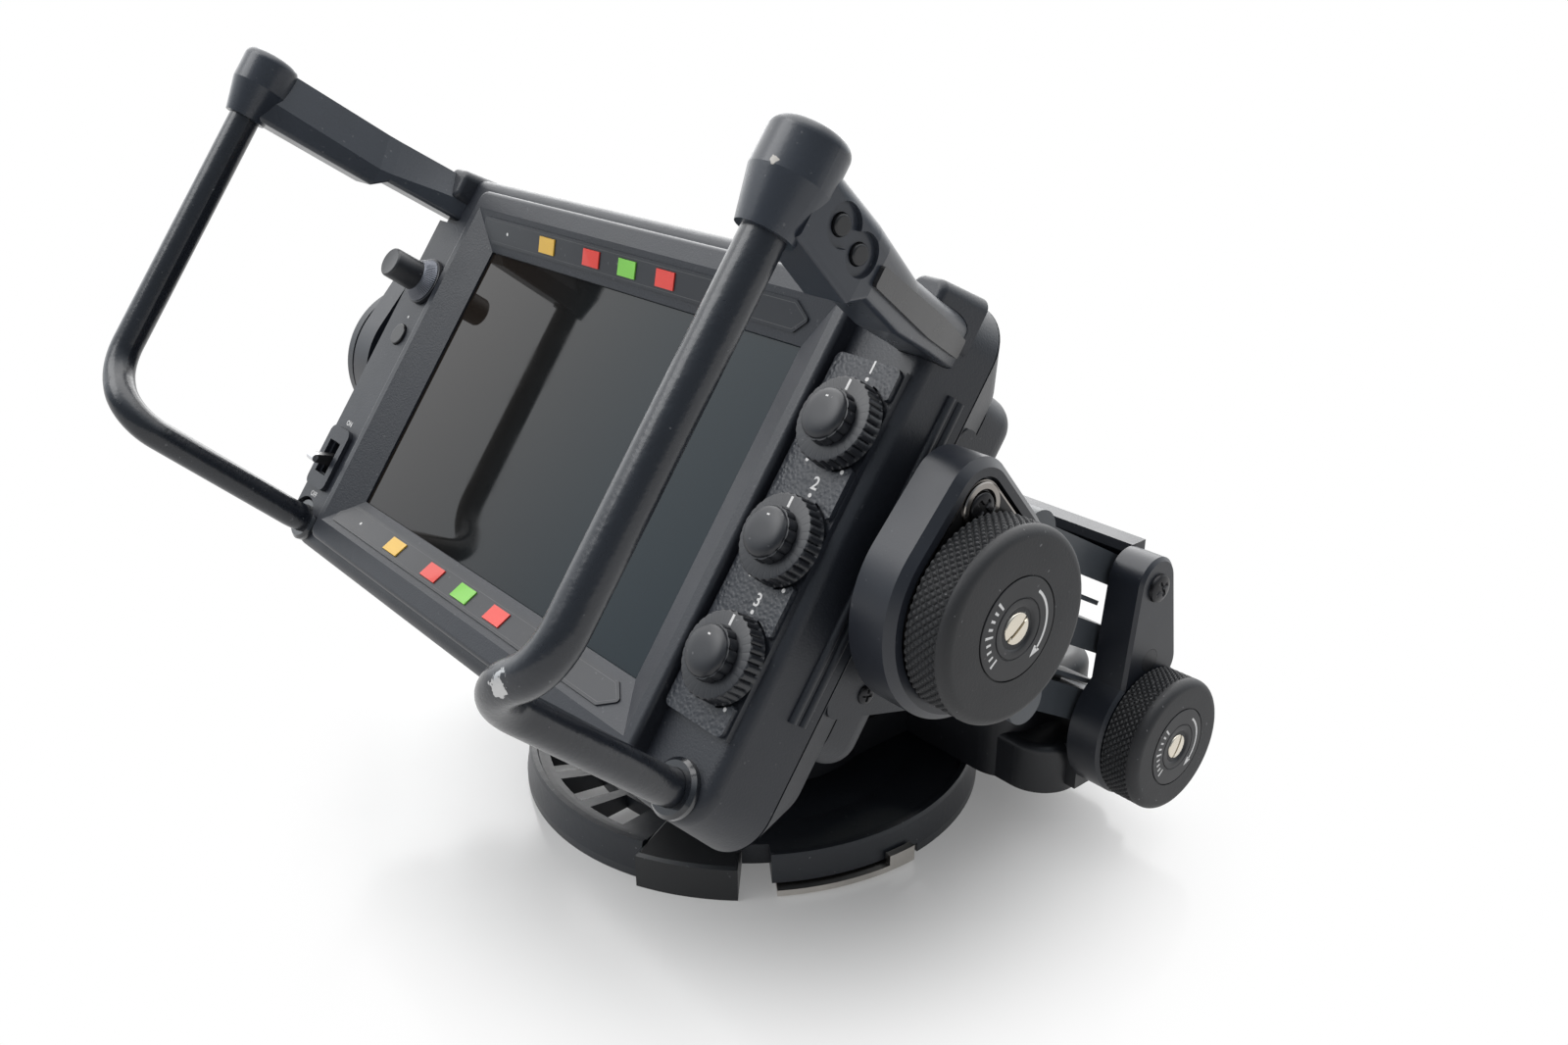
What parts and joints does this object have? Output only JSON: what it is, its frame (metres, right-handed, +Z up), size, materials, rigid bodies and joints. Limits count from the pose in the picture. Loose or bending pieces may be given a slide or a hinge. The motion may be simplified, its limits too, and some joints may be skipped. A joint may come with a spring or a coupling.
{
  "type": "studio camera viewfinder",
  "caption": "Tilting camera viewfinder screen with hand rails and dual control knobs, on a parallelogram lift with lock knobs, tower plates, pan turntable and round base.",
  "frame": {"origin": "centre of the base's underside, on the pan axis", "axes": "+Z up, +X to the user's right, +Y away from the user, the screen faces -Y and up"},
  "size_m": [0.3228, 0.2693, 0.2578],
  "materials": {
    "housing": "fine moulded texture",
    "screen_glass": "polished",
    "display_panel": "dark display",
    "circuit_board": "solder mask",
    "label_plate": "smooth satin",
    "tally_yellow": "tinted window",
    "tally_red": "tinted window",
    "tally_green": "tinted window",
    "knob_panel": "fine texture",
    "rail_tube": "satin powder coat",
    "bracket": "fine moulded texture",
    "grip_pad": "smooth satin",
    "side_cover": "smooth satin",
    "screw_black": "blackened",
    "sheet_metal": "plain sheet",
    "inlet_metal": "turned",
    "bare_steel": "turned",
    "control_knob": "moulded, fluted",
    "button_plastic": "satin",
    "switch_lever": "polished tip",
    "hinge_plate": "dark satin paint",
    "casting": "dark satin paint",
    "friction_metal": "ground",
    "knob_rubber": "knurled grip",
    "screw_steel": "slotted head",
    "base_casting": "dark satin paint",
    "bearing_plastic": "low-friction washer",
    "block_plastic": "moulded",
    "lever_steel": "bare strip"
  },
  "bodies": {
    "base": {"base_disc": "base_casting", "front_block": "block_plastic", "mount_shoe": "sheet_metal", "pan_bearing": "bearing_plastic"},
    "release_lever": {"release_lever": "lever_steel"},
    "turntable": {"turntable": "casting", "tower_plate_right": "hinge_plate", "tower_plate_left": "hinge_plate", "tower_cross_piece": "hinge_plate", "rear_pivot_pins": "bare_steel", "balance_springs": "bare_steel"},
    "lift_knob": {"lift_lock_knob": "knob_rubber", "lift_knob_screw": "screw_steel"},
    "upper_link": {"upper_link": "casting"},
    "mid_link": {"mid_link": "casting"},
    "lower_link": {"lower_link": "casting"},
    "carrier": {"yoke_plate_right": "hinge_plate", "yoke_plate_left": "hinge_plate", "yoke_frame": "casting", "friction_plate": "friction_metal", "tilt_disc_left": "hinge_plate", "front_pivot_pins": "bare_steel"},
    "head": {"front_housing": "housing", "rear_housing": "housing", "hump_cover": "housing", "screen_glass": "screen_glass", "display_panel": "display_panel", "circuit_board": "circuit_board", "label_plates": "label_plate", "tally_yellow": "tally_yellow", "tally_red": "tally_red", "tally_green": "tally_green", "knob_panel": "knob_panel", "control_pots": "bare_steel", "hand_rail_right": "rail_tube", "hand_rail_left": "rail_tube", "bracket_right_upper": "bracket", "bracket_right_lower": "bracket", "bracket_left_upper": "bracket", "bracket_left_lower": "bracket", "grip_pad": "grip_pad", "rail_collars": "bracket", "side_covers": "side_cover", "head_screws": "screw_black", "head_chassis": "sheet_metal", "signal_inlet": "inlet_metal", "tilt_axles": "bare_steel"},
    "tilt_knob": {"tilt_lock_knob": "knob_rubber", "tilt_knob_screw": "screw_steel"},
    "menu_dial": {"menu_dial": "control_knob"},
    "menu_button": {"menu_button": "button_plastic"},
    "power_toggle": {"power_toggle": "switch_lever"},
    "assign_button_1": {"assign_button_1": "button_plastic"},
    "assign_button_2": {"assign_button_2": "button_plastic"},
    "outer_ring_1": {"outer_ring_1": "control_knob"},
    "inner_knob_1": {"inner_knob_1": "control_knob"},
    "outer_ring_2": {"outer_ring_2": "control_knob"},
    "inner_knob_2": {"inner_knob_2": "control_knob"},
    "outer_ring_3": {"outer_ring_3": "control_knob"},
    "inner_knob_3": {"inner_knob_3": "control_knob"}
  },
  "joints": [
    {"name": "pan", "type": "hinge", "parent": "base", "child": "turntable", "pos_m": [0, 0, 0.0142], "axis": [0, 0, 1], "range_deg": [-90, 90]},
    {"name": "lift", "type": "hinge", "parent": "turntable", "child": "upper_link", "pos_m": [0, 0.0705, 0.0946], "axis": [-1, 0, 0], "range_deg": [-20, 15]},
    {"name": "mid_link_swing", "type": "hinge", "parent": "turntable", "child": "mid_link", "pos_m": [0, 0.0705, 0.0676], "axis": [-1, 0, 0], "range_deg": [-20, 15]},
    {"name": "lower_link_swing", "type": "hinge", "parent": "turntable", "child": "lower_link", "pos_m": [0, 0.0705, 0.0406], "axis": [-1, 0, 0], "range_deg": [-20, 15]},
    {"name": "carrier_level", "type": "hinge", "parent": "upper_link", "child": "carrier", "pos_m": [0, -0.00148, 0.13532], "axis": [-1, 0, 0], "range_deg": [-15, 20]},
    {"name": "tilt", "type": "hinge", "parent": "carrier", "child": "head", "pos_m": [0, -0.04948, 0.13462], "axis": [1, 0, 0], "range_deg": [-10, 40]},
    {"name": "tilt_lock", "type": "hinge", "parent": "head", "child": "tilt_knob", "pos_m": [0.158, -0.04948, 0.13462], "axis": [1, 0, 0], "range_deg": [0, 120]},
    {"name": "lift_lock", "type": "hinge", "parent": "turntable", "child": "lift_knob", "pos_m": [0.133, 0.0705, 0.0406], "axis": [1, 0, 0], "range_deg": [0, 120]},
    {"name": "outer_ring_1_turn", "type": "hinge", "parent": "head", "child": "outer_ring_1", "pos_m": [0.1149, -0.06363, 0.1779], "axis": [0, -0.8131, 0.5821], "range_deg": [-150, 150]},
    {"name": "inner_knob_1_turn", "type": "hinge", "parent": "head", "child": "inner_knob_1", "pos_m": [0.1149, -0.0677, 0.18081], "axis": [0, -0.8131, 0.5821], "range_deg": [-150, 150]},
    {"name": "outer_ring_2_turn", "type": "hinge", "parent": "head", "child": "outer_ring_2", "pos_m": [0.1149, -0.0827, 0.15127], "axis": [0, -0.8131, 0.5821], "range_deg": [-150, 150]},
    {"name": "inner_knob_2_turn", "type": "hinge", "parent": "head", "child": "inner_knob_2", "pos_m": [0.1149, -0.08676, 0.15418], "axis": [0, -0.8131, 0.5821], "range_deg": [-150, 150]},
    {"name": "outer_ring_3_turn", "type": "hinge", "parent": "head", "child": "outer_ring_3", "pos_m": [0.1149, -0.10176, 0.12464], "axis": [0, -0.8131, 0.5821], "range_deg": [-150, 150]},
    {"name": "inner_knob_3_turn", "type": "hinge", "parent": "head", "child": "inner_knob_3", "pos_m": [0.1149, -0.10583, 0.12755], "axis": [0, -0.8131, 0.5821], "range_deg": [-150, 150]},
    {"name": "menu_dial_turn", "type": "hinge", "parent": "head", "child": "menu_dial", "pos_m": [-0.11, -0.06889, 0.17914], "axis": [0, -0.8131, 0.5821], "continuous": true},
    {"name": "menu_press", "type": "slide", "parent": "head", "child": "menu_button", "axis": [0, 0.8131, -0.5821], "range_m": [0, 0.0008], "stiffness_N_per_m": 300},
    {"name": "power_throw", "type": "hinge", "parent": "head", "child": "power_toggle", "pos_m": [-0.114, -0.10465, 0.11374], "axis": [1, 0, 0], "range_deg": [-24, 0]},
    {"name": "assign_1_press", "type": "slide", "parent": "head", "child": "assign_button_1", "axis": [-1, 0, 0], "range_m": [0, 0.0006], "stiffness_N_per_m": 300},
    {"name": "assign_2_press", "type": "slide", "parent": "head", "child": "assign_button_2", "axis": [-1, 0, 0], "range_m": [0, 0.0006], "stiffness_N_per_m": 300},
    {"name": "release", "type": "hinge", "parent": "base", "child": "release_lever", "pos_m": [0.07015, -0.0405, 0.0017], "axis": [0, 0, -1], "range_deg": [0, 10]}
  ],
  "couplings": [
    {"joint": "mid_link_swing", "follows": "lift", "ratio": 1},
    {"joint": "lower_link_swing", "follows": "lift", "ratio": 1},
    {"joint": "carrier_level", "follows": "lift", "ratio": -1}
  ]
}
